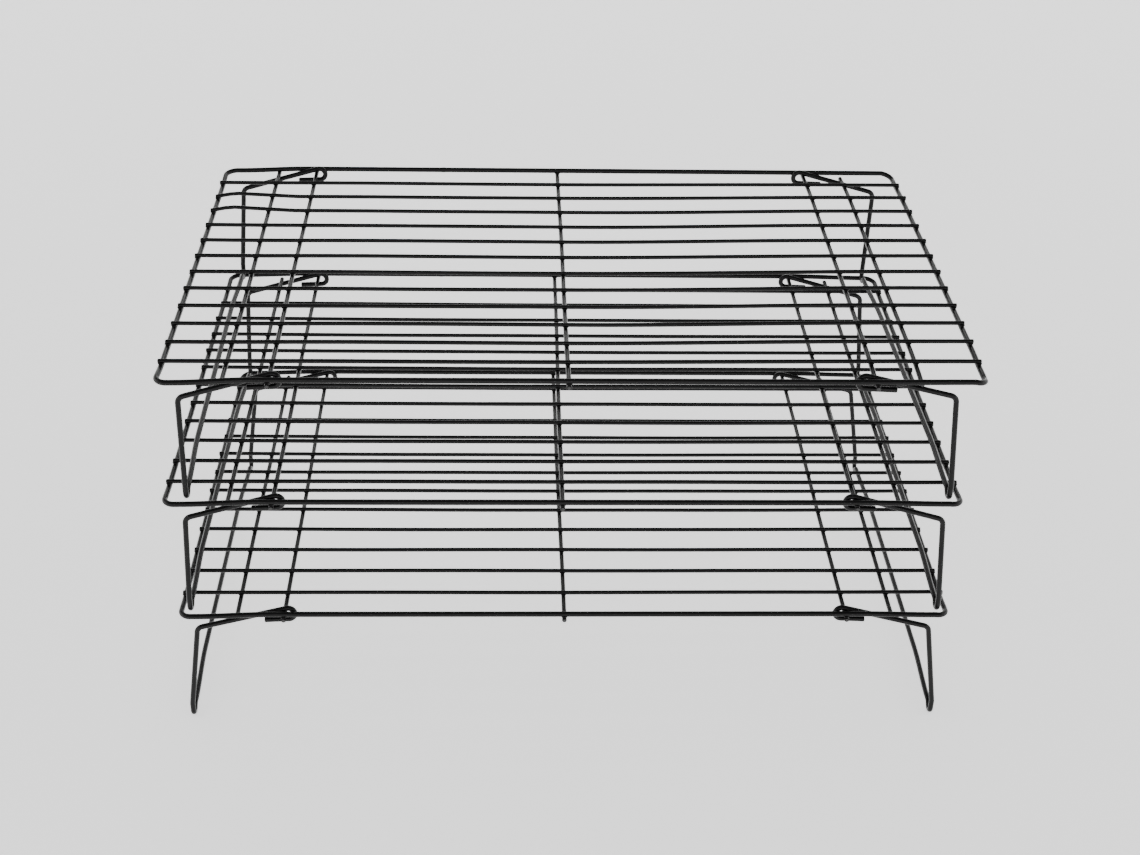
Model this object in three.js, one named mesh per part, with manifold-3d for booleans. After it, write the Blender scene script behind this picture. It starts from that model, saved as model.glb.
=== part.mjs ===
// Three stacking wire cooling racks with folding legs, as one three.js scene graph.
//
// Each rack is a bent rectangular frame wire, twelve long wires across it, five cross wires
// under them, and two legs. A leg is one bent wire: each end hooks round an inner cross wire
// and turns on it, the arm runs out under the outer cross wire, which stops it, and the
// upright goes down to a foot. The feet of an upper rack stand inside the rails of the rack
// below, with the foot rails over its long wires.
//
// Millimetres, +Z up, +X along the long wires, origin under the middle of the stack on the
// surface that it stands on. Every wire has an eight-sided section with a flat side up.

import * as THREE from 'three';
import { mergeVertices } from 'three/addons/utils/BufferGeometryUtils.js';
import Module from 'manifold-3d';

// ---------- Driving dimensions ----------

const RACK_WIDTH = 397; // between the side rails' centres
const RACK_DEPTH = 252; // between the front and rear rails' centres
const CORNER_BEND = 6; // centreline radius of the frame's corners

const RAIL_R = 1.4; // wire radii
const LONG_R = 1.0;
const CROSS_R = 1.1;
const LEG_R = 1.4;

const CLEARANCE = 0.3; // kept between wires that touch or are welded on the real rack
const REST_CLEARANCE = 0.5; // between a foot rail and the long wires that it lies over

const LONG_WIRES = 12; // evenly spaced between the front and rear rails
const LONG_OVERHANG = 0.5; // long wire ends beyond the side rails' outer sides
const CROSS_OVERHANG = 0.9; // cross wire ends beyond the front and rear rails' outer sides

const RACK_SHIFT = { bottom: 0.4, middle: -1.4, top: 1.3 }; // along X, as loosely stacked
const CENTRE_CROSS_X = { bottom: -1.4, middle: -0.8, top: -2.4 };
const INNER_CROSS_X = 145.5; // the wires that the legs turn on
const OUTER_CROSS_X = { bottom: 169.6, middle: 167.5, top: 167.5 }; // they stop the legs
const OUTER_CROSS_END_Y = 124; // their ends stop short of the rails

const DROOP_START_X = 150; // the front and rear rails fall towards the corners from here
const DROOP_AT_CORNER = 1.2;
const DROOP_PAST_CORNER = 2.2;
const DROOP_LENGTH = 10; // along a side rail, from the corner to its full drop

const LEG_INSET = 3.3; // leg plane inside the front or rear rail's centre
const LEG_DROP = 69.25; // from the rail centre down to the lowest centre of a foot tip
const KNEE_X = {
  bottom: { left: 190.8, right: 190.3 },
  middle: { left: 189, right: 190.8 },
  top: { left: 189, right: 186 },
};
const KNEE_BEND = 4;
const FOOT_X = { // the lower the rack, the more its loaded legs splay
  bottom: { left: { front: 197.8, rear: 197.8 }, right: { front: 198.6, rear: 198.6 } },
  middle: { left: { front: 191.5, rear: 191.5 }, right: { front: 195.1, rear: 195.1 } },
  top: { left: { front: 190, rear: 193.2 }, right: { front: 189.5, rear: 187.4 } },
};
const FOOT_RISE = 2.6; // foot rail above the foot tips
const FOOT_BOW = 1.5; // foot rail bowed out between its tips
const BOW_SHARE = 0.4; // of the half rail, from a tip to the full bow
const TIP_BEND = 2.6;
const SHIN_HEIGHT = 5; // the upright is plumb from here down to the tip
const SHIN_BEND = 12;
const TIP_CLIMB_DEG = 50; // slope of the wire from a tip up to the foot rail
const HOOK_BEND = 3.3; // the hook goes round the inner cross wire, its tab under it
const HOOK_CENTRE_X = 144.5;
const TAB_LENGTH = 12.5;
const TAB_SLOPE_DEG = 2.5; // downwards to its cut end

const WELD_X = -70; // butt weld of the frame wire, in the rear rail
const WELD_GAP = 0.4;
const WELD_LENGTH = 3;
const WELD_R = 1.6;

// ---------- Worked out from them ----------

const SIDES = 8;
const FLAT = Math.cos(Math.PI / SIDES); // centre to flat side, as a share of the radius
const HALF_WIDTH = RACK_WIDTH / 2;
const HALF_DEPTH = RACK_DEPTH / 2;
const LONG_Z = LONG_R - RAIL_R; // undersides level with the rails'
const CROSS_Z = LONG_Z - FLAT * (LONG_R + CROSS_R) - CLEARANCE;
const SIDE_Z = LONG_Z - FLAT * (LONG_R + RAIL_R) - CLEARANCE;
const LEG_Y = HALF_DEPTH - LEG_INSET;
const LEG_TO_CROSS = LEG_R + CROSS_R + CLEARANCE; // between centres, where the leg carries the rack
const HOOK_CENTRE_Z = CROSS_Z + HOOK_BEND - LEG_TO_CROSS;
const TAB_SLOPE = THREE.MathUtils.degToRad(TAB_SLOPE_DEG);
const TIP_STEP = THREE.MathUtils.degToRad(14); // half the flat stretch at a tip's lowest point
const FLOOR_TO_TIP = (TIP_BEND + LEG_R * FLAT) * Math.cos(TIP_STEP) - TIP_BEND;
const STACK_PITCH = LEG_DROP - (LONG_Z + LONG_R + REST_CLEARANCE + LEG_R - FOOT_RISE);

const wasm = await Module();
wasm.setup();

// ---------- Wires ----------

/** A path through stations, which are kept exactly. A level path keeps its section upright. */
class WirePath extends THREE.Curve {
  constructor(stations, level = false) {
    super();
    this.stations = stations;
    this.level = level;
  }

  getPoint(t, target = new THREE.Vector3()) {
    const place = t * (this.stations.length - 1);
    const index = Math.min(Math.floor(place + 1e-6), this.stations.length - 2);
    return target.lerpVectors(this.stations[index], this.stations[index + 1], place - index);
  }

  getPointAt(t, target) {
    return this.getPoint(t, target);
  }

  getTangentAt(t, target = new THREE.Vector3()) {
    const last = this.stations.length - 1;
    const index = Math.round(t * last);
    const before = this.stations[Math.max(index - 1, 0)];
    const here = this.stations[index];
    const after = this.stations[Math.min(index + 1, last)];
    const into = here.clone().sub(before).normalize();
    const outOf = after.clone().sub(here).normalize();
    return target.copy(into).add(outOf).normalize();
  }

  computeFrenetFrames(segments, closed) {
    if (!this.level) return super.computeFrenetFrames(segments, closed);
    const up = new THREE.Vector3(0, 0, 1);
    const frames = { tangents: [], normals: [], binormals: [] };
    for (let i = 0; i <= segments; i += 1) {
      const tangent = this.getTangentAt(i / segments);
      const side = tangent.clone().cross(up).normalize();
      const normal = side.clone().cross(tangent);
      frames.tangents.push(tangent);
      frames.normals.push(normal);
      frames.binormals.push(tangent.clone().cross(normal));
    }
    return frames;
  }
}

function wireSection(radius) {
  const corners = [];
  for (let i = 0; i < SIDES; i += 1) {
    const angle = ((i + 0.5) * 2 * Math.PI) / SIDES;
    corners.push(new THREE.Vector2(radius * Math.cos(angle), radius * Math.sin(angle)));
  }
  return new THREE.Shape(corners);
}

function bentWire(stations, radius, level) {
  const path = new WirePath(stations, level);
  return new THREE.ExtrudeGeometry(wireSection(radius), {
    steps: stations.length - 1,
    extrudePath: path,
  });
}

/** A straight wire along X or Y, centred on the origin. */
function straightWire(length, radius, alongX) {
  const wire = new THREE.CylinderGeometry(radius, radius, length, SIDES, 1, false, Math.PI / SIDES);
  return alongX ? wire.rotateZ(Math.PI / 2) : wire;
}

function arc(count, from, to, place) {
  return Array.from({ length: count + 1 }, (_, i) => place(from + ((to - from) * i) / count));
}

/** The stations of a rounded corner at a point, between the points before and after it. */
function roundedCorner(before, corner, after, radius, count) {
  const back = before.clone().sub(corner).normalize();
  const ahead = after.clone().sub(corner).normalize();
  const turn = Math.PI - back.angleTo(ahead);
  const reach = radius * Math.tan(turn / 2);
  const middle = back.clone().add(ahead).normalize();
  const centre = corner.clone().addScaledVector(middle, radius / Math.cos(turn / 2));
  const start = corner.clone().addScaledVector(back, reach).sub(centre);
  const side = back.clone().negate();
  return arc(count, 0, turn, (angle) =>
    centre.clone().addScaledVector(start, Math.cos(angle)).addScaledVector(side, radius * Math.sin(angle)));
}

// ---------- Frame ----------

function eased(share) {
  return THREE.MathUtils.smoothstep(share, 0, 1);
}

/** One quarter of the frame's loop, from the middle of a side rail to the middle of a long rail. */
function frameQuarter() {
  const cornerX = HALF_WIDTH - CORNER_BEND;
  const cornerY = HALF_DEPTH - CORNER_BEND;
  const fall = -SIDE_Z - DROOP_PAST_CORNER;
  const side = arc(3, 1, 0, (share) =>
    new THREE.Vector3(HALF_WIDTH, cornerY - DROOP_LENGTH * share, -DROOP_PAST_CORNER - fall * eased(share)));
  const corner = arc(5, 0, 1, (share) => {
    const angle = (share * Math.PI) / 2;
    return new THREE.Vector3(
      cornerX + CORNER_BEND * Math.cos(angle),
      cornerY + CORNER_BEND * Math.sin(angle),
      THREE.MathUtils.lerp(-DROOP_PAST_CORNER, -DROOP_AT_CORNER, share));
  });
  const rail = arc(4, 1, 0, (share) =>
    new THREE.Vector3(
      THREE.MathUtils.lerp(DROOP_START_X, cornerX, share), HALF_DEPTH, -DROOP_AT_CORNER * eased(share)));
  return [...side, ...corner.slice(1), ...rail.slice(1)];
}

function frameStations() {
  const quarter = frameQuarter();
  const mirrored = (x, y) => quarter.map((p) => new THREE.Vector3(p.x * x, p.y * y, p.z));
  const rearRight = mirrored(1, 1).reverse();
  const frontRight = mirrored(1, -1);
  const frontLeft = mirrored(-1, -1).reverse();
  const rearLeft = mirrored(-1, 1);
  const weldAt = (shift) => new THREE.Vector3(WELD_X + shift, HALF_DEPTH, 0);
  return [
    weldAt(WELD_GAP / 2), ...rearRight, ...frontRight, ...frontLeft, ...rearLeft, weldAt(-WELD_GAP / 2),
  ];
}

function toManifold(geometry) {
  const bare = geometry.clone();
  bare.deleteAttribute('normal');
  bare.deleteAttribute('uv');
  const merged = mergeVertices(bare, 1e-4);
  return new wasm.Manifold(new wasm.Mesh({
    numProp: 3,
    vertProperties: new Float32Array(merged.attributes.position.array),
    triVerts: new Uint32Array(merged.index.array),
  }));
}

function fromManifold(solid) {
  const mesh = solid.getMesh();
  const geometry = new THREE.BufferGeometry();
  geometry.setAttribute('position', new THREE.BufferAttribute(mesh.vertProperties, 3));
  geometry.setIndex(new THREE.BufferAttribute(mesh.triVerts, 1));
  geometry.computeVertexNormals();
  return geometry;
}

/** The frame wire is bent from one length, and its ends are butt welded in the rear rail. */
function frameGeometry() {
  const loop = toManifold(bentWire(frameStations(), RAIL_R, true));
  const bead = straightWire(WELD_LENGTH, WELD_R, true).translate(WELD_X, HALF_DEPTH, 0);
  return fromManifold(loop.add(toManifold(bead)));
}

// ---------- Leg ----------

/** The downward slope of an arm that comes off the hook and touches the outer cross wire. */
function armSlope(outerX) {
  const stopX = outerX - HOOK_CENTRE_X;
  const stopZ = CROSS_Z - HOOK_CENTRE_Z;
  return Math.asin((HOOK_BEND + LEG_TO_CROSS) / Math.hypot(stopX, stopZ)) - Math.atan2(stopZ, stopX);
}

/** The front half of a right leg, from the cut end of its tab to the middle of its foot rail. */
function legHalf(outerX, kneeX, footX, middleX) {
  const at = (x, y, z) => new THREE.Vector3(x, y, z);
  const y = -LEG_Y;
  const slope = armSlope(outerX);
  const hook = arc(8, -Math.PI / 2 - TAB_SLOPE, -1.5 * Math.PI - slope, (angle) =>
    at(HOOK_CENTRE_X + HOOK_BEND * Math.cos(angle), y, HOOK_CENTRE_Z + HOOK_BEND * Math.sin(angle)));
  const tabEnd = at(
    hook[0].x + TAB_LENGTH * Math.cos(TAB_SLOPE), y, hook[0].z - TAB_LENGTH * Math.sin(TAB_SLOPE));

  const armStart = hook[hook.length - 1];
  const knee = at(kneeX, y, armStart.z - (kneeX - armStart.x) * Math.tan(slope));
  const tipTop = at(footX, y, -LEG_DROP + TIP_BEND);
  const shin = at(footX, y, tipTop.z + SHIN_HEIGHT);

  const climb = THREE.MathUtils.degToRad(TIP_CLIMB_DEG);
  const tipMiddle = -Math.PI / 2;
  const tipAngles = [
    ...arc(2, -Math.PI, tipMiddle - TIP_STEP, (angle) => angle),
    ...arc(1, tipMiddle + TIP_STEP, tipMiddle + climb, (angle) => angle),
  ];
  const tip = tipAngles.map((angle) =>
    at(footX, y + TIP_BEND + TIP_BEND * Math.cos(angle), tipTop.z + TIP_BEND * Math.sin(angle)));

  const tipEnd = tip[tip.length - 1];
  const arcRise = TIP_BEND * (1 - Math.cos(climb));
  const straight = (FOOT_RISE - 2 * arcRise) / Math.sin(climb);
  const crest = at(footX, tipEnd.y + straight * Math.cos(climb), tipEnd.z + straight * Math.sin(climb));
  const onto = arc(2, climb, 0, (angle) => at(
    footX,
    crest.y + TIP_BEND * (Math.sin(climb) - Math.sin(angle)),
    crest.z + TIP_BEND * (Math.cos(angle) - Math.cos(climb))));
  const railStart = onto[onto.length - 1];
  const bow = [0.1, 0.22, BOW_SHARE, 1].map((share) => {
    const bowed = FOOT_BOW * eased(share / BOW_SHARE);
    return at(THREE.MathUtils.lerp(footX, middleX, share) + bowed, railStart.y * (1 - share), railStart.z);
  });

  return [
    tabEnd,
    ...hook,
    ...roundedCorner(armStart, knee, shin, KNEE_BEND, 5),
    ...roundedCorner(knee, shin, tipTop, SHIN_BEND, 1),
    ...tip,
    ...onto,
    ...bow,
  ];
}

/** A whole leg in its rack's own frame, from its front tab to its rear tab. */
function legGeometry(level, hand) {
  const side = hand === 'left' ? -1 : 1;
  const foot = FOOT_X[level][hand];
  const middleX = (foot.front + foot.rear) / 2;
  const half = (footX) => legHalf(OUTER_CROSS_X[level], KNEE_X[level][hand], footX, middleX);
  const front = half(foot.front);
  const rear = half(foot.rear).slice(0, -1).reverse().map((p) => new THREE.Vector3(p.x, -p.y, p.z));
  const stations = [...front, ...rear].map((p) => new THREE.Vector3(p.x * side, p.y, p.z));
  return bentWire(stations, LEG_R, false);
}

// ---------- Assembly ----------

function coatedSteel() {
  return new THREE.MeshStandardMaterial({ color: 0x0b0b0c, roughness: 0.28, metalness: 0.1 });
}

function addWire(group, name, geometry, x = 0, y = 0, z = 0) {
  const wire = new THREE.Mesh(geometry, coatedSteel());
  wire.name = name;
  wire.position.set(x, y, z);
  group.add(wire);
}

function buildRack(level, railHeight) {
  const rack = new THREE.Group();
  rack.position.set(RACK_SHIFT[level], 0, railHeight);

  addWire(rack, `${level}_frame`, frameGeometry());

  const longLength = RACK_WIDTH + 2 * (RAIL_R + LONG_OVERHANG);
  const spacing = RACK_DEPTH / (LONG_WIRES + 1);
  for (let i = 1; i <= LONG_WIRES; i += 1) {
    const name = `${level}_long_wire_${String(i).padStart(2, '0')}`;
    addWire(rack, name, straightWire(longLength, LONG_R, true), 0, i * spacing - HALF_DEPTH, LONG_Z);
  }

  const crossLength = RACK_DEPTH + 2 * (RAIL_R + CROSS_OVERHANG);
  const centre = straightWire(crossLength, CROSS_R, false);
  addWire(rack, `${level}_centre_cross_wire`, centre, CENTRE_CROSS_X[level], 0, CROSS_Z);
  for (const [hand, side] of [['left', -1], ['right', 1]]) {
    const inner = straightWire(crossLength, CROSS_R, false);
    const outer = straightWire(2 * OUTER_CROSS_END_Y, CROSS_R, false);
    addWire(rack, `${level}_${hand}_inner_cross_wire`, inner, side * INNER_CROSS_X, 0, CROSS_Z);
    addWire(rack, `${level}_${hand}_outer_cross_wire`, outer, side * OUTER_CROSS_X[level], 0, CROSS_Z);
    addWire(rack, `${level}_${hand}_leg`, legGeometry(level, hand));
  }
  return rack;
}

const stack = new THREE.Group();
['bottom', 'middle', 'top'].forEach((level, index) => {
  stack.add(buildRack(level, FLOOR_TO_TIP + LEG_DROP + index * STACK_PITCH));
});

export default stack;
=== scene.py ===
# %% [markdown]
# # A stack of three wire cooling racks
#
# Each rack is a bent frame wire, twelve shelf wires that rest across it, five cross wires
# under them, and two folding legs, all dipped in a glossy black coating. This lesson takes
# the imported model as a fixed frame, and gives every wire its round section, its bends, its
# welds and its coating.

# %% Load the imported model
import math

import bmesh
import bpy
from mathutils import Matrix, Vector


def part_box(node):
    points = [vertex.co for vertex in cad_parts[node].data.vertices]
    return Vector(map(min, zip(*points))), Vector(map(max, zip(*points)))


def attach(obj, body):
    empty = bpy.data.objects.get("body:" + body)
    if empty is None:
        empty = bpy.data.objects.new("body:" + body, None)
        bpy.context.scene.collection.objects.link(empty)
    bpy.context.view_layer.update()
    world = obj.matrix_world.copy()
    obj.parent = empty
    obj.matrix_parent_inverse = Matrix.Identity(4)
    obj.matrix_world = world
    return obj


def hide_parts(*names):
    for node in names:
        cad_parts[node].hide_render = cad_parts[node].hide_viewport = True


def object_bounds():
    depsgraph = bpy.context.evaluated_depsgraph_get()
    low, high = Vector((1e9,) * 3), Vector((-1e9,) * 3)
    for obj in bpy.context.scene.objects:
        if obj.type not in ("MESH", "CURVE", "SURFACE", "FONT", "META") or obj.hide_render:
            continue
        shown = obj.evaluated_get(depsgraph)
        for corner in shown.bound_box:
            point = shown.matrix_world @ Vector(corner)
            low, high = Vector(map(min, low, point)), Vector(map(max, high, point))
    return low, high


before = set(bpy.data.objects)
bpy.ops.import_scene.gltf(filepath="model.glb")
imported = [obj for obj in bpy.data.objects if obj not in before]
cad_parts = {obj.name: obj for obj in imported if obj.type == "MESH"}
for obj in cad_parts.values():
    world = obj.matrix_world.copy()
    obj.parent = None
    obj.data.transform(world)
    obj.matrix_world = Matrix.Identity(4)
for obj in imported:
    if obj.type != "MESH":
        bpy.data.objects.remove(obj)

cad_low, cad_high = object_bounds()
print("model box in mm:", [round(1000 * side, 1) for side in cad_high - cad_low])

# %% [markdown]
# ## The camera
#
# The camera comes first, so that every later look at the work is the same look. It stands in
# front of the stack and a little to its left, and looks down on it by about 31 degrees. It
# was held by hand, so it is also turned and tilted by a degree or two. A camera could aim
# with a Track To constraint, but then its small roll would need an extra parent, and three
# turns multiplied in order say the same thing plainly.

# %% Camera
EYE = Vector((-0.0311, -0.8483, 0.6246))
TURN = math.radians(-2.44)
LOOK_DOWN = math.radians(31.4)
ROLL = math.radians(1.43)
FOCAL_LENGTH = 55.4

camera_data = bpy.data.cameras.new("camera")
camera_data.sensor_width = 36
camera_data.lens = FOCAL_LENGTH
camera_data.clip_start = 0.05
camera = bpy.data.objects.new("camera", camera_data)
bpy.context.scene.collection.objects.link(camera)
camera.matrix_world = (
    Matrix.Translation(EYE)
    @ Matrix.Rotation(TURN, 4, "Z")
    @ Matrix.Rotation(math.pi / 2 - LOOK_DOWN, 4, "X")
    @ Matrix.Rotation(ROLL, 4, "Z")
)
bpy.context.scene.camera = camera

# %% [markdown]
# ## The sizes of the wires
#
# A maker draws these racks from three wire thicknesses: thick wire for the frame and the legs,
# thinner wire for the cross wires, and the thinnest for the shelf. Where the wires cross they
# are spot welded, and a weld sinks one wire a little into the other, so the heights below are
# slightly less than the sum of the radii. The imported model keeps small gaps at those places
# instead, so only its positions are read, and the welded heights are worked out here. The
# coat is dipped on last. It builds up more on the thinner wires, and so the radii grow a
# little.

# %% Sizes
MM = 0.001
LEVELS = ("bottom", "middle", "top")
HANDS = {"left": -1, "right": 1}

THICK_COAT = 0.1 * MM  # on the shelf wires and the cross wires
THIN_COAT = 0.03 * MM  # on the frame and the legs
RAIL_STEEL_R = 1.4 * MM
LEG_STEEL_R = 1.4 * MM
CROSS_STEEL_R = 1.1 * MM
SHELF_STEEL_R = 1.0 * MM
RAIL_R = RAIL_STEEL_R + THIN_COAT
LEG_R = LEG_STEEL_R + THIN_COAT
CROSS_R = CROSS_STEEL_R + THICK_COAT
SHELF_R = SHELF_STEEL_R + THICK_COAT
WELD_SINK = 0.06 * MM

HALF_WIDTH = 198.5 * MM  # centres of the side rails
HALF_DEPTH = 126 * MM  # centres of the front and rear rails
CORNER_BEND = 6 * MM
LEG_Y = HALF_DEPTH - 3.3 * MM  # the hooks and uprights
SHELF_Z = SHELF_STEEL_R - RAIL_STEEL_R
CROSS_Z = SHELF_Z - SHELF_R - CROSS_R + WELD_SINK
SIDE_RAIL_Z = SHELF_Z - SHELF_R - RAIL_R + WELD_SINK


def middle_of(node):
    """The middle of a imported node's box."""
    low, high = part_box(node)
    return (low + high) / 2


def rack_origin(level):
    """The middle of a rack's frame, level with its front and rear rails."""
    middle = middle_of(f"{level}_long_wire_01")
    return Vector((middle.x, 0, middle.z - SHELF_Z))


for level in LEVELS:
    print(level, "rack origin in mm:", [round(1000 * c, 2) for c in rack_origin(level)])

# %% [markdown]
# ## Shader maths in Python
#
# The coating needs a few masks and mixes. Adding Math nodes one by one is slow to write and
# hard to read, so a small class wraps a socket, and an expression such as `1 - mask` adds the
# node that it needs.

# %% A socket that can be added and multiplied
class Socket:
    """An output of a node. Arithmetic on it adds Math nodes."""

    def __init__(self, tree, socket):
        self.tree = tree
        self.socket = socket

    def node(self, kind, settings=None, outlet=0, **values):
        """Adds a node, with its settings first and then its sockets' values or links."""
        made = self.tree.nodes.new(kind)
        for key, value in (settings or {}).items():
            setattr(made, key, value)
        for key, value in values.items():
            place = int(key[1:]) if key[1:].isdigit() else key.replace("_", " ")
            socket = made.inputs[place]
            if isinstance(value, Socket):
                self.tree.links.new(value.socket, socket)
            else:
                socket.default_value = value
        return Socket(self.tree, made.outputs[outlet])

    def maths(self, operation, *others):
        values = {f"i{place}": other for place, other in enumerate(others)}
        return self.node("ShaderNodeMath", {"operation": operation}, **values)

    def __add__(self, other):
        return self.maths("ADD", self, other)

    def __mul__(self, other):
        return self.maths("MULTIPLY", self, other)

    def __rsub__(self, other):
        return self.maths("SUBTRACT", other, self)

    __radd__ = __add__
    __rmul__ = __mul__

    def ramp(self, low, high):
        """0 below low, 1 above high, and straight between."""
        settings = {"clamp": True}
        values = {"Value": self, "From_Min": low, "From_Max": high}
        return self.node("ShaderNodeMapRange", settings, **values)

    def noise(self, features_per_metre, detail=2.0, roughness=0.5):
        """Noise on this vector, with about that many soft features in each metre."""
        values = {"Vector": self, "Scale": features_per_metre, "Detail": detail}
        return self.node("ShaderNodeTexNoise", None, 0, Roughness=roughness, **values)


def new_material(name):
    """A material with its tree, its Principled shader and its Object coordinates."""
    material = bpy.data.materials.new(name)
    material.use_nodes = True
    tree = material.node_tree
    shader = tree.nodes["Principled BSDF"]
    place = tree.nodes.new("ShaderNodeTexCoord").outputs["Object"]
    return material, tree, shader, Socket(tree, place)


# %% [markdown]
# ## The coating
#
# The real finish is a thin black non-stick coat, dipped and baked. It is close to black, with
# a soft gloss, and it is never quite even: it thickens and thins over a few millimetres, so
# its highlights wander, it has a very fine orange-peel grain, and racks that are stacked and
# folded pick up faint dull rubs. All of this is noise on Object coordinates, which needs no
# UV map and runs on across the welds from wire to wire.

# %% Glossy black coating
COAT_DEEP = (0.0022, 0.0022, 0.0024, 1)
COAT_THIN = (0.006, 0.0058, 0.0058, 1)
COAT_IOR = 1.45
COAT_SPECULAR = 0.22
GRAIN_DEPTH = 0.01 * MM


def mix_colours(place, factor, first, second):
    settings = {"data_type": "RGBA"}
    values = {"i0": factor, "i6": first, "i7": second}
    return place.node("ShaderNodeMix", settings, 2, **values)


def black_coating():
    material, tree, shader, place = new_material("black_coating")
    pooled = place.noise(55, 2, 0.5).ramp(0.35, 0.65)
    patches = place.noise(260, 3, 0.55).ramp(0.3, 0.7)
    rubs = place.noise(420, 4, 0.65).ramp(0.62, 0.72)
    grain = place.noise(1500, 2, 0.5)

    colour = mix_colours(place, pooled * 0.6 + rubs * 0.25, COAT_DEEP, COAT_THIN)
    tree.links.new(colour.socket, shader.inputs["Base Color"])
    roughness = 0.2 + patches * 0.07 + (1 - pooled) * 0.03 + rubs * 0.08
    tree.links.new(roughness.socket, shader.inputs["Roughness"])

    height = grain * 0.25 + patches * 0.75
    bump = place.node("ShaderNodeBump", None, 0, Strength=0.3, Distance=GRAIN_DEPTH, Height=height)
    tree.links.new(bump.socket, shader.inputs["Normal"])
    shader.inputs["Metallic"].default_value = 0.0
    shader.inputs["IOR"].default_value = COAT_IOR
    shader.inputs["Specular IOR Level"].default_value = COAT_SPECULAR
    return material


coating = black_coating()

# %% [markdown]
# ## The cut ends
#
# A wire is sheared before it is dipped. The coat draws back from the sharp rim of the cut and
# stays thinner on its face, so an end looks a little duller and greyer than the wire's side.
# A second material on the end faces alone says that.

# %% Sheared ends under the coating
END_DARK = (0.012, 0.012, 0.0125, 1)
END_GREY = (0.045, 0.044, 0.043, 1)
TEAR_DEPTH = 0.05 * MM


def sheared_end():
    material, tree, shader, place = new_material("sheared_end")
    tear = place.noise(2600, 3, 0.6).ramp(0.4, 0.7)
    colour = mix_colours(place, tear, END_DARK, END_GREY)
    tree.links.new(colour.socket, shader.inputs["Base Color"])
    roughness = 0.38 + tear * 0.2
    tree.links.new(roughness.socket, shader.inputs["Roughness"])
    bump = place.node("ShaderNodeBump", None, 0, Strength=0.5, Distance=TEAR_DEPTH, Height=tear)
    tree.links.new(bump.socket, shader.inputs["Normal"])
    shader.inputs["Metallic"].default_value = 0.0
    return material


cut_face = sheared_end()

# %% [markdown]
# ## A wire as a dragged circle
#
# Every part of a rack is round wire. A curve with a bevel would give a tube at once, but not
# a rounded cut end or a thicker place at a weld. So a circle is made with `create_circle`, its
# edges are extruded from station to station along the wire's path, and each new ring is
# turned and scaled on the way. Turning each ring only by the change of direction keeps the
# tube from twisting.

# %% Dragging a circle along a path
WIRE_SIDES = 20
JOIN_WITHIN = 0.1 * MM  # first and last ring of a closed loop
Z_AXIS = Vector((0, 0, 1))


def directions_of(stations):
    """The direction of a path at each station, halfway between the steps on both sides."""
    steps = [(b - a).normalized() for a, b in zip(stations, stations[1:])]
    inner = [(a + b).normalized() for a, b in zip(steps, steps[1:])]
    return [steps[0], *inner, steps[-1]]


def drag_circle(stations, radii, closed=False):
    """A tube through the stations, with its own radius at each, as a bmesh."""
    bm = bmesh.new()
    headings = directions_of(stations)
    if closed:
        headings[0] = headings[-1] = (headings[0] + headings[-1]).normalized()
    place = Matrix.LocRotScale(stations[0], Z_AXIS.rotation_difference(headings[0]), None)
    bmesh.ops.create_circle(bm, segments=WIRE_SIDES, radius=radii[0], matrix=place)
    rim = first_rim = list(bm.edges)
    for i in range(1, len(stations)):
        grown = bmesh.ops.extrude_edge_only(bm, edges=rim)["geom"]
        ring = {part for part in grown if isinstance(part, bmesh.types.BMVert)}
        edges = [part for part in grown if isinstance(part, bmesh.types.BMEdge)]
        rim = [edge for edge in edges if set(edge.verts) <= ring]
        turn = headings[i - 1].rotation_difference(headings[i]).to_matrix().to_4x4()
        growth = Matrix.Scale(radii[i] / radii[i - 1], 4)
        move = Matrix.Translation(stations[i]) @ turn @ growth @ Matrix.Translation(-stations[i - 1])
        bmesh.ops.transform(bm, matrix=move, verts=list(ring))
    if closed:
        bmesh.ops.remove_doubles(bm, verts=bm.verts, dist=JOIN_WITHIN)
    else:
        bmesh.ops.edgeloop_fill(bm, edges=first_rim, mat_nr=1)
        bmesh.ops.edgeloop_fill(bm, edges=rim, mat_nr=1)
    bmesh.ops.recalc_face_normals(bm, faces=bm.faces)
    return bm


# %% [markdown]
# ## Ends that were sheared and dipped
#
# The coat rounds the rim of a cut and gathers in a slightly thicker collar behind it. The
# radius follows that over the last few millimetres of every free end.

# %% Rounded ends
END_SHAPE = [
    (0 * MM, 0.7),
    (0.08 * MM, 0.86),
    (0.22 * MM, 0.96),
    (0.45 * MM, 1.02),
    (1.0 * MM, 1.045),
    (1.8 * MM, 1.02),
    (2.8 * MM, 1.0),
]
END_LENGTH = END_SHAPE[-1][0]


def straight_stops(length, step):
    """Distances along a straight wire and the share of the radius at each."""
    count = round((length - 2 * END_LENGTH) / step)
    even = [END_LENGTH + (length - 2 * END_LENGTH) * i / count for i in range(1, count)]
    finish = [(length - distance, share) for distance, share in reversed(END_SHAPE)]
    return [*END_SHAPE, *((distance, 1.0) for distance in even), *finish]


def with_rounded_ends(points):
    """Adds two rounded ends to a path, and gives each station's share of the radius."""
    into = (points[1] - points[0]).normalized()
    back = (points[-2] - points[-1]).normalized()
    start = [points[0] + into * distance for distance, _ in END_SHAPE]
    finish = [points[-1] + back * distance for distance, _ in reversed(END_SHAPE)]
    shares = [share for _, share in END_SHAPE]
    even = [1.0] * (len(points) - 2)
    return [*start, *points[1:-1], *finish], [*shares, *even, *shares[::-1]]


# %% [markdown]
# ## From a bmesh to a finished piece
#
# A piece takes the coating, is shaded smooth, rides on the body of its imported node, and hides
# that node. Its mesh is in place and its object stays at the origin.

# %% Adding a piece
piece_triangles = {}


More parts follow.
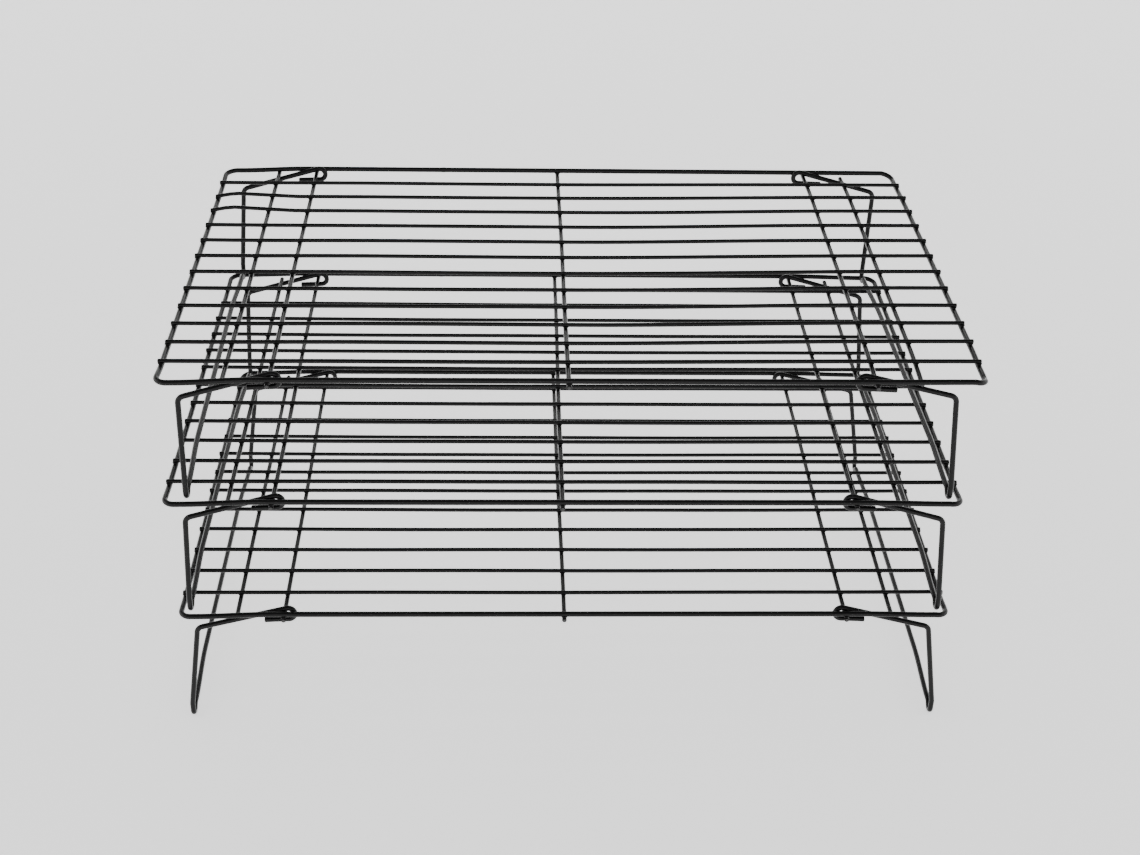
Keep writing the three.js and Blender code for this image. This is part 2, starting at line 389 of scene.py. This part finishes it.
def add_piece(name, bm, body, *nodes):
    """Makes a smooth coated object from a bmesh, which rides on body and stands for nodes."""
    for face in bm.faces:
        face.smooth = True
    mesh = bpy.data.meshes.new(name)
    bm.to_mesh(mesh)
    bm.free()
    mesh.materials.append(coating)
    mesh.materials.append(cut_face)
    piece = bpy.data.objects.new(name, mesh)
    bpy.context.scene.collection.objects.link(piece)
    piece_triangles[name] = sum(len(face.vertices) - 2 for face in mesh.polygons)
    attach(piece, body)
    if nodes:
        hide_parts(*nodes)
    return piece


# %% [markdown]
# ## The frame wire
#
# One thick wire goes round the rack. Its front and rear rails are level with the shelf, and
# its side rails run under the shelf wires, so near each corner the wire dips by the thickness
# of a rail. It was bent from one length and butt welded in the rear rail, where a slight
# ring is left under the coat. One function draws a quarter of the loop at any corner. The
# corners droop by different amounts, as they do on a rack that has been used, and the top
# rack's right side is bowed up a little and its left side down.

# %% The path of the frame wire
DROOP_START = 150 * MM
DROOP_FRONT = {"left": 1.4 * MM, "right": 0.7 * MM}
DROOP_REAR = {"left": 1.1 * MM, "right": 0.9 * MM}
TOP_DROOP_CHANGE = {"left": 0.3 * MM, "right": -0.9 * MM}
BOWED_DEPTH = 120 * MM  # the bow ends before the legs' hooks
BOW_FLATNESS = 8
BOW_RIGHT = 1.9 * MM
BOW_RIGHT_REACH = 170 * MM
BOW_LEFT = -0.5 * MM
BOW_LEFT_START = 100 * MM
DROOP_PAST_CORNER = 2.1 * MM
DROOP_LENGTH = 12 * MM
BUTT_WELD_X = -70 * MM


def eased(share):
    """A smooth step from 0 to 1."""
    share = min(max(share, 0), 1)
    return share * share * (3 - 2 * share)


def spread(count, start, end):
    """Evenly spaced values from start to end, both included."""
    return [start + (end - start) * i / count for i in range(count + 1)]


def bow(level, x, y):
    """How far the top rack is bent up at its right end and down at its left end."""
    if level != "top" or abs(y) > BOWED_DEPTH:
        return 0
    right = BOW_RIGHT * eased(x / BOW_RIGHT_REACH)
    left = BOW_LEFT * eased((-x - BOW_LEFT_START) / (HALF_WIDTH - BOW_LEFT_START))
    return (right + left) * (1 - (y / BOWED_DEPTH) ** BOW_FLATNESS)


def frame_quarter(level, hand, rear):
    """From the middle of a side rail round a corner to the middle of a long rail."""
    side = HANDS[hand]
    droop = DROOP_REAR[hand] if rear > 0 else DROOP_FRONT[hand]
    if level == "top":
        droop += TOP_DROOP_CHANGE[hand]
    corner = Vector((HALF_WIDTH - CORNER_BEND, HALF_DEPTH - CORNER_BEND))
    points = []
    rise_from = corner.y - DROOP_LENGTH
    for y in [*spread(8, 0, rise_from)[:-1], *spread(6, rise_from, corner.y)]:
        rise = eased((y - rise_from) / DROOP_LENGTH)
        z = SIDE_RAIL_Z + rise * (-DROOP_PAST_CORNER - SIDE_RAIL_Z)
        z += bow(level, side * HALF_WIDTH, y)
        points.append(Vector((HALF_WIDTH, y, z)))
    for angle in spread(12, 0, math.pi / 2)[1:]:
        x = corner.x + CORNER_BEND * math.cos(angle)
        y = corner.y + CORNER_BEND * math.sin(angle)
        z = -DROOP_PAST_CORNER + (DROOP_PAST_CORNER - droop) * angle / (math.pi / 2)
        points.append(Vector((x, y, z)))
    for x in [*spread(10, corner.x, DROOP_START)[1:], *spread(6, DROOP_START, 0)[1:]]:
        z = -droop * eased((x - DROOP_START) / (corner.x - DROOP_START))
        points.append(Vector((x, HALF_DEPTH, z)))
    return [Vector((point.x * side, point.y * rear, point.z)) for point in points]


# %% [markdown]
# The loop is drawn from the middle of the rear rail, and the butt weld is a little to the left
# of it. So the few stations of the weld's ring are put into the rear rail, in order along it.

# %% The frame wires
RING_HEIGHT = 0.09  # of the radius
RING_REACH = 3 * MM


def frame_stations(level):
    """The loop's stations with the weld's ring among them, and the share of the radius at each."""
    loop = [
        *frame_quarter(level, "right", 1)[::-1],
        *frame_quarter(level, "right", -1)[1:],
        *frame_quarter(level, "left", -1)[::-1][1:],
        *frame_quarter(level, "left", 1)[1:],
    ]
    ring = [Vector((BUTT_WELD_X + x, HALF_DEPTH, 0)) for x in spread(12, -RING_REACH, RING_REACH)]
    last_left = max(i for i, point in enumerate(loop) if point.x < BUTT_WELD_X - RING_REACH)
    stations = [*loop[: last_left + 1], *ring, *loop[last_left + 1 :]]
    shares = []
    weld = Vector((BUTT_WELD_X, HALF_DEPTH, 0))
    for point in stations:
        away = (point - weld).length / MM
        shares.append(1 + RING_HEIGHT * math.exp(-away * away))
    return stations, shares


def make_frame(level):
    origin = rack_origin(level)
    stations, shares = frame_stations(level)
    radii = [RAIL_R * share for share in shares]
    bm = drag_circle([origin + point for point in stations], radii, closed=True)
    add_piece(f"{level}_frame_wire", bm, f"{level}_rack", f"{level}_frame")


for level in LEVELS:
    make_frame(level)
print("frame wire triangles:", piece_triangles["top_frame_wire"])

# %% [markdown]
# ## How the shelf gives
#
# The shelf wires and the cross wires are welded into one thin grid that hangs in the frame.
# It sags by about half a millimetre in its middle, and no wire of it is quite straight. One
# function gives the sag anywhere, and two more give a shelf wire's and a cross wire's own
# wander, so that the wires still meet at every weld. A cross wire doesn't wander at its ends,
# because the legs have to turn on it there.

# %% The line of each shelf wire and cross wire
SAG = 0.5 * MM
SHELF_WANDER = 0.22 * MM
SHELF_WAVE = 38 * MM
SHELF_LONG_WAVE = 91 * MM
CROSS_WANDER = 0.25 * MM
CROSS_WAVE = 45 * MM
SHELF_ROWS = range(1, 13)
CROSS_PLACES = ("left_outer", "left_inner", "centre", "right_inner", "right_outer")
CENTRE_LEAN = {"bottom": -0.2 * MM, "middle": 0.75 * MM, "top": 0.1 * MM}
CROOKED_ROWS = {("top", 11): 4.4 * MM, ("top", 10): 4.6 * MM}
CROOK_FROM = 152 * MM
CROOK_KINK = 189 * MM
CROOK_RETURN = 10 * MM


def sag(level, x, y):
    """How far the grid hangs below its edges, with the bow of its frame."""
    across = max(0, 1 - (x / HALF_WIDTH) ** 2)
    along = max(0, 1 - (y / HALF_DEPTH) ** 2)
    return bow(level, x, y) - SAG * across * along


def crook(level, row, x):
    """How far a crookedly welded shelf wire has drifted to the rear."""
    out = min(max((-x - CROOK_FROM) / (CROOK_KINK - CROOK_FROM), 0), 1)
    back = min(max((-x - CROOK_KINK) / CROOK_RETURN, 0), 1)
    return CROOKED_ROWS.get((level, row), 0) * (out - back)


def shelf_point(level, row, x):
    """A point on the centre line of a shelf wire, in its rack's own frame."""
    y = middle_of(f"{level}_long_wire_{row:02d}").y
    seed = row * 1.7 + LEVELS.index(level) * 2.3
    wander = SHELF_WANDER * math.sin(x / SHELF_WAVE + seed) * math.cos(x / SHELF_LONG_WAVE + 2 * seed)
    return Vector((x, y + wander + crook(level, row, x), SHELF_Z + sag(level, x, y)))


def cross_point(level, place, y):
    """A point on the centre line of a cross wire, in its rack's own frame."""
    x = middle_of(f"{level}_{place}_cross_wire").x - rack_origin(level).x
    seed = CROSS_PLACES.index(place) * 2.1 + LEVELS.index(level) * 1.3
    along = max(0, 1 - (y / LEG_Y) ** 2)
    wander = CROSS_WANDER * along * math.sin(y / CROSS_WAVE + seed)
    lean = CENTRE_LEAN[level] * y / HALF_DEPTH if place == "centre" else 0
    return Vector((x + wander + lean, y, CROSS_Z + sag(level, x, y)))


# %% [markdown]
# ## The shelf wires
#
# Twelve thin wires lie across the side rails and are cut level with them. On the top rack two
# wires near the rear were welded crookedly at the left: they drift to the rear, and bend
# back to their places just before the side rail.

# %% Shelf wires
SHELF_STEP = 5 * MM
SHELF_TRIM = 0.6 * MM
CUT_ERROR = 0.2 * MM


def make_shelf_wire(level, row):
    node = f"{level}_long_wire_{row:02d}"
    low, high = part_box(node)
    origin = rack_origin(level)
    error = CUT_ERROR * math.sin(row * 2.9 + LEVELS.index(level))
    start = low.x - origin.x + SHELF_TRIM + error
    stops = straight_stops(high.x - low.x - 2 * SHELF_TRIM, SHELF_STEP)
    stations = [origin + shelf_point(level, row, start + distance) for distance, _ in stops]
    bm = drag_circle(stations, [SHELF_R * share for _, share in stops])
    add_piece(f"{level}_shelf_wire_{row:02d}", bm, f"{level}_rack", node)


for level in LEVELS:
    for row in SHELF_ROWS:
        make_shelf_wire(level, row)
print("shelf wire triangles:", piece_triangles["top_shelf_wire_01"])

# %% [markdown]
# ## The cross wires
#
# Five slightly thicker wires are welded under the shelf. The centre one and the two inner
# ones reach under the front and rear rails, and the legs turn on the inner ones. The outer
# ones stop short of the rails, and each stops a leg. One of them was cut too long, and
# reaches under the rear rail.

# %% Cross wires
CROSS_STEP = 9 * MM
TOO_LONG = {("top", "left_outer"): 3 * MM}


def make_cross_wire(level, place):
    node = f"{level}_{place}_cross_wire"
    low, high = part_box(node)
    origin = rack_origin(level)
    stops = straight_stops(high.y - low.y + TOO_LONG.get((level, place), 0), CROSS_STEP)
    stations = [origin + cross_point(level, place, low.y + distance) for distance, _ in stops]
    bm = drag_circle(stations, [CROSS_R * share for _, share in stops])
    add_piece(f"{level}_{place}_cross_bar", bm, f"{level}_rack", node)


for level in LEVELS:
    for place in CROSS_PLACES:
        make_cross_wire(level, place)
print("cross wire triangles:", piece_triangles["top_centre_cross_bar"])

# %% [markdown]
# ## The welds
#
# At each crossing the two wires are fused, and the coat fills the sharp corner around the
# joint with a small web. A boolean union with a fillet would be exact but slow for so many
# crossings. A flattened ball of 80 faces in the joint shows the same web, and it hides
# inside the wires everywhere else. All of a rack's welds are one piece.

# %% Webs of coating at the crossings
SHELF_WEB = Vector((1.5, 1.5, 0.6)) * MM
SIDE_RAIL_WEB = Vector((1.65, 1.65, 0.65)) * MM
END_WEB = Vector((1.7, 1.7, 0.7)) * MM
END_WELDED = ("left_inner", "centre", "right_inner")


def crossings(level):
    """The middle of every weld on a rack, and half the size of its web."""
    found = []
    for row in SHELF_ROWS:
        for place in CROSS_PLACES:
            y = shelf_point(level, row, cross_point(level, place, 0).x).y
            cross = cross_point(level, place, y)
            upper = shelf_point(level, row, cross.x)
            found.append((Vector((cross.x, y, upper.z - SHELF_R + WELD_SINK / 2)), SHELF_WEB))
        for side in HANDS.values():
            upper = shelf_point(level, row, side * HALF_WIDTH)
            found.append((upper - Vector((0, 0, SHELF_R - WELD_SINK / 2)), SIDE_RAIL_WEB))
    for place in END_WELDED:
        for end in (-1, 1):
            cross = cross_point(level, place, end * HALF_DEPTH)
            found.append((Vector((cross.x, cross.y, -RAIL_R + WELD_SINK / 2)), END_WEB))
    return found


def make_welds(level):
    origin = rack_origin(level)
    webs = crossings(level)
    bm = bmesh.new()
    for point, half_size in webs:
        place = Matrix.LocRotScale(origin + point, None, half_size)
        bmesh.ops.create_icosphere(bm, subdivisions=2, radius=1, matrix=place)
    add_piece(f"{level}_welds", bm, f"{level}_rack")
    return len(webs)


for level in LEVELS:
    print(level, "welds:", make_welds(level))

# %% [markdown]
# ## Bends
#
# Wire is bent round a pin, so every bend is an arc. A Bevel of the path's corners would do
# for one bend, but a hook and a foot need arcs with known middles. One helper gives points
# on an arc, and another rounds a corner with the arc that touches both of its sides.

# %% Arcs and rounded corners
X_AXIS = Vector((1, 0, 0))
Y_AXIS = Vector((0, 1, 0))


def arc_points(centre, across, up, start, end, count):
    """Points on an arc in the plane of the vectors across and up, which have the arc's radius."""
    angles = spread(count, start, end)
    return [centre + across * math.cos(angle) + up * math.sin(angle) for angle in angles]


def rounded_corner(before, corner, after, radius, count):
    """The arc that rounds the corner of a path with a radius."""
    back = (before - corner).normalized()
    ahead = (after - corner).normalized()
    turn = math.pi - back.angle(ahead)
    centre = corner + (back + ahead).normalized() * radius / math.cos(turn / 2)
    start = corner + back * radius * math.tan(turn / 2) - centre
    return arc_points(centre, start, -back * radius, 0, turn, count)


# %% [markdown]
# ## The hooks of the legs
#
# A leg is one bent wire, the same at the front and at the rear. From its cut end it runs as a
# short tab under the inner cross wire, hooks up and over it, and slopes down and outwards as
# an arm that presses up against the outer cross wire. The weight of the rack holds it there.
# So the slope of the arm isn't chosen. It is the slope of a line that leaves the top of the
# hook and just touches the underside of the outer cross wire.

# %% A tab and its hook
TOUCH = 0.05 * MM
LEG_TO_CROSS = LEG_R + CROSS_R + TOUCH
HOOK_BEND = 3.4 * MM
HOOK_X = 143.5 * MM
TAB_LENGTH = 12.5 * MM
TAB_SLOPE = math.radians(2.5)


def tab_and_hook(outer_cross_x, hook_reach):
    """The stations of a tab and its hook, and the slope of the arm that leaves the hook."""
    centre = Vector((HOOK_X - hook_reach, -LEG_Y, CROSS_Z + HOOK_BEND - LEG_TO_CROSS))
    stop = Vector((outer_cross_x - centre.x, CROSS_Z - centre.z))
    slope = math.asin((HOOK_BEND + LEG_TO_CROSS) / stop.length) - math.atan2(stop.y, stop.x)
    start = -math.pi / 2 - TAB_SLOPE
    end = -1.5 * math.pi - slope
    hook = arc_points(centre, X_AXIS * HOOK_BEND, Z_AXIS * HOOK_BEND, start, end, 20)
    tab = Vector((math.cos(TAB_SLOPE), 0, -math.sin(TAB_SLOPE))) * (TAB_LENGTH + hook_reach)
    return [hook[0] + tab, *hook], slope


# %% [markdown]
# ## The feet
#
# At its foot the wire turns inwards round a tight tip, climbs a little, and levels out into
# the foot rail, which joins the front and the rear of the leg and bows outwards slightly. So
# the stack stands on the tips alone.

# %% A foot's tip and half of its rail
TIP_BEND = 2.6 * MM
TIP_CLIMB = math.radians(50)
FOOT_RISE = 2.6 * MM
FOOT_BOW = 1.5 * MM
BOW_SHARE = 0.4  # of half the foot rail, from a tip to the full bow


def foot_tip(top):
    """From the top of the tip's bend round it and up to the start of the foot rail."""
    across = Y_AXIS * TIP_BEND
    up = Z_AXIS * TIP_BEND
    tip = arc_points(top + across, across, up, -math.pi, -math.pi / 2 + TIP_CLIMB, 14)
    climb = Vector((0, math.cos(TIP_CLIMB), math.sin(TIP_CLIMB)))
    arc_rise = TIP_BEND * (1 - math.cos(TIP_CLIMB))
    crest = tip[-1] + climb * (FOOT_RISE - 2 * arc_rise) / math.sin(TIP_CLIMB)
    centre = crest + Vector((0, math.sin(TIP_CLIMB), -math.cos(TIP_CLIMB))) * TIP_BEND
    levelling = arc_points(centre, across, up, math.pi / 2 + TIP_CLIMB, math.pi / 2, 6)
    return [*tip, *levelling[1:]]


def half_foot_rail(start, foot_x, middle_x):
    """From a tip to the middle of the foot rail."""
    points = []
    for share in spread(24, 0, 1)[1:]:
        out = (middle_x - foot_x) * share + FOOT_BOW * eased(share / BOW_SHARE)
        points.append(start + Vector((out, -start.y * share, 0)))
    return points


# %% [markdown]
# ## Half of a leg
#
# The arm turns down at the knee and runs as an upright to the tip. The upright leans, and
# straightens just above the tip. One function draws a half of the leg with its own measures,
# and the rear half is drawn as a front one and mirrored.

# %% From a tab to the middle of the foot rail
KNEE_BEND = 4 * MM
SHIN_HEIGHT = 5 * MM
SHIN_BEND = 12 * MM


def leg_half(outer_cross_x, knee_x, foot_x, middle_x, hook_reach, tip_z):
    """From the cut end of a tab to the middle of the foot rail, in the rack's own frame."""
    hook, arm_slope = tab_and_hook(outer_cross_x, hook_reach)
    arm_start = hook[-1]
    knee_z = arm_start.z - (knee_x - arm_start.x) * math.tan(arm_slope)
    knee = Vector((knee_x, -LEG_Y, knee_z))
    tip_top = Vector((foot_x, -LEG_Y, tip_z + TIP_BEND))
    shin = tip_top + Z_AXIS * SHIN_HEIGHT
    tip = foot_tip(tip_top)
    return [
        *hook,
        *rounded_corner(arm_start, knee, shin, KNEE_BEND, 10),
        *rounded_corner(knee, shin, tip_top, SHIN_BEND, 4),
        *tip,
        *half_foot_rail(tip[-1], foot_x, middle_x),
    ]


# %% [markdown]
# ## The six legs
#
# The six legs differ in where their knees and feet are, because they were bent on a jig by
# hand, and the loaded ones splay. Each end of a leg has its own measures from the middle of
# its rack, first the knee and then the foot. The hooks of the top rack's right leg were bent
# longer than the others.

# %% Legs
KNEES_AND_FEET = {
    ("bottom", "left"): {"front": (190.8 * MM, 197.8 * MM), "rear": (190.8 * MM, 197.8 * MM)},
    ("bottom", "right"): {"front": (190.3 * MM, 198.6 * MM), "rear": (190.3 * MM, 198.6 * MM)},
    ("middle", "left"): {"front": (189 * MM, 191.5 * MM), "rear": (189 * MM, 191.5 * MM)},
    ("middle", "right"): {"front": (190.8 * MM, 195.1 * MM), "rear": (190.8 * MM, 195.1 * MM)},
    ("top", "left"): {"front": (189 * MM, 190 * MM), "rear": (189 * MM, 193.2 * MM)},
    ("top", "right"): {"front": (185.2 * MM, 189.5 * MM), "rear": (188.2 * MM, 187.4 * MM)},
}
LONG_HOOKS = {("top", "right", "front"): 3.5 * MM, ("top", "right", "rear"): 1 * MM}


def leg_path(level, hand):
    """A whole leg in place, from its front tab to its rear tab."""
    origin = rack_origin(level)
    outer_cross_x = abs(middle_of(f"{level}_{hand}_outer_cross_wire").x - origin.x)
    tip_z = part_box(f"{level}_{hand}_leg")[0].z + LEG_R - origin.z
    ends = KNEES_AND_FEET[level, hand]
    middle_x = sum(foot_x for _, foot_x in ends.values()) / 2
    front, rear = [
        leg_half(outer_cross_x, *ends[end], middle_x, LONG_HOOKS.get((level, hand, end), 0), tip_z)
        for end in ("front", "rear")
    ]
    mirrored = [Vector((point.x, -point.y, point.z)) for point in rear[-2::-1]]
    return [origin + Vector((point.x * HANDS[hand], point.y, point.z)) for point in [*front, *mirrored]]


def make_leg(level, hand):
    stations, shares = with_rounded_ends(leg_path(level, hand))
    bm = drag_circle(stations, [LEG_R * share for share in shares])
    name = f"{level}_{hand}_leg"
    add_piece(f"{name}_wire", bm, name, name)


for level in LEVELS:
    for hand in HANDS:
        make_leg(level, hand)
print("leg triangles:", piece_triangles["top_left_leg_wire"])
print("all triangles:", sum(piece_triangles.values()))

# %% [markdown]
# ## The floor
#
# The stack stands on a plain white sweep under bright, even light. A flat plane would end in
# a hard horizon in the low views, so the floor is a wide disc whose rim is extruded outwards
# and upwards in a few rings, like a studio's paper sweep on every side.

# %% Floor
FLOOR_RADIUS = 4
FLOOR_SIDES = 64
SWEEP_RADIUS = 1.5
SWEEP_RINGS = 8
WALL_HEIGHT = 0.6
FLOOR_WHITE = (0.85, 0.85, 0.85, 1)
FLOOR_GLOW = 1.1


def white_floor():
    material, _, shader, _ = new_material("white_floor")
    shader.inputs["Base Color"].default_value = FLOOR_WHITE
    shader.inputs["Roughness"].default_value = 0.35
    shader.inputs["Emission Color"].default_value = (1, 1, 1, 1)
    shader.inputs["Emission Strength"].default_value = FLOOR_GLOW
    return material


# %% [markdown]
# The profile of the sweep's rim is a quarter of a circle and a short upright wall. Each step
# of it is an extrusion of the rim, which is then scaled out and lifted.

# %% The sweep
def sweep_profile():
    """The radius and the height of each ring outside the flat floor."""
    profile = []
    for angle in spread(SWEEP_RINGS, 0, math.pi / 2)[1:]:
        out = SWEEP_RADIUS * math.sin(angle)
        profile.append((FLOOR_RADIUS + out, SWEEP_RADIUS * (1 - math.cos(angle))))
    return [*profile, (FLOOR_RADIUS + SWEEP_RADIUS, SWEEP_RADIUS + WALL_HEIGHT)]


def make_floor():
    bm = bmesh.new()
    bmesh.ops.create_circle(bm, cap_ends=True, segments=FLOOR_SIDES, radius=FLOOR_RADIUS)
    rim = list(bm.edges)
    radius, height = FLOOR_RADIUS, 0
    for next_radius, next_height in sweep_profile():
        grown = bmesh.ops.extrude_edge_only(bm, edges=rim)["geom"]
        ring = [part for part in grown if isinstance(part, bmesh.types.BMVert)]
        edges = [part for part in grown if isinstance(part, bmesh.types.BMEdge)]
        rim = [edge for edge in edges if set(edge.verts) <= set(ring)]
        growth = next_radius / radius
        bmesh.ops.scale(bm, vec=(growth, growth, 1), verts=ring)
        bmesh.ops.translate(bm, vec=(0, 0, next_height - height), verts=ring)
        radius, height = next_radius, next_height
    for face in bm.faces:
        face.smooth = True
    mesh = bpy.data.meshes.new("floor")
    bm.to_mesh(mesh)
    bm.free()
    mesh.materials.append(white_floor())
    floor = bpy.data.objects.new("floor", mesh)
    bpy.context.scene.collection.objects.link(floor)
    print("floor faces:", len(mesh.polygons))


make_floor()

# %% [markdown]
# ## The light
#
# High-key product light: an even pale surround that leaves almost no shadow, and one wide
# soft box behind and above the stack. Wires that run to the rear mirror that box along their
# middles as a soft grey line, and wires that run across mirror the dimmer surround and stay
# black, which tells the two apart. Boxes with dimmer faces on both sides and in front do the
# same for someone who walks round the stack.

# %% Surround and soft boxes
SURROUND_STRENGTH = 0.35

world = bpy.data.worlds.new("white_surround")
world.use_nodes = True
surround = world.node_tree.nodes["Background"]
surround.inputs["Color"].default_value = (1, 1, 1, 1)
surround.inputs["Strength"].default_value = SURROUND_STRENGTH
bpy.context.scene.world = world


def soft_box(name, place, target, width, height, watts):
    """A rectangular area light that faces its target and that the camera doesn't see."""
    light = bpy.data.lights.new(name, "AREA")
    light.shape = "RECTANGLE"
    light.size = width
    light.size_y = height
    light.energy = watts
    box = bpy.data.objects.new(name, light)
    bpy.context.scene.collection.objects.link(box)
    box.location = place
    box.rotation_euler = (target - box.location).to_track_quat("-Z", "Y").to_euler()
    box.visible_camera = False


stack_middle = (cad_low + cad_high) / 2
soft_box("rear_box", Vector((0, 1.9, 1.35)), stack_middle, 0.95, 0.5, 4.5)
soft_box("left_box", Vector((-1.9, 0.2, 1.1)), stack_middle, 1.2, 0.7, 5)
soft_box("right_box", Vector((1.9, 0.2, 1.1)), stack_middle, 1.2, 0.7, 5)
soft_box("front_box", Vector((0, -2.2, 1.3)), stack_middle, 1.2, 0.6, 3)
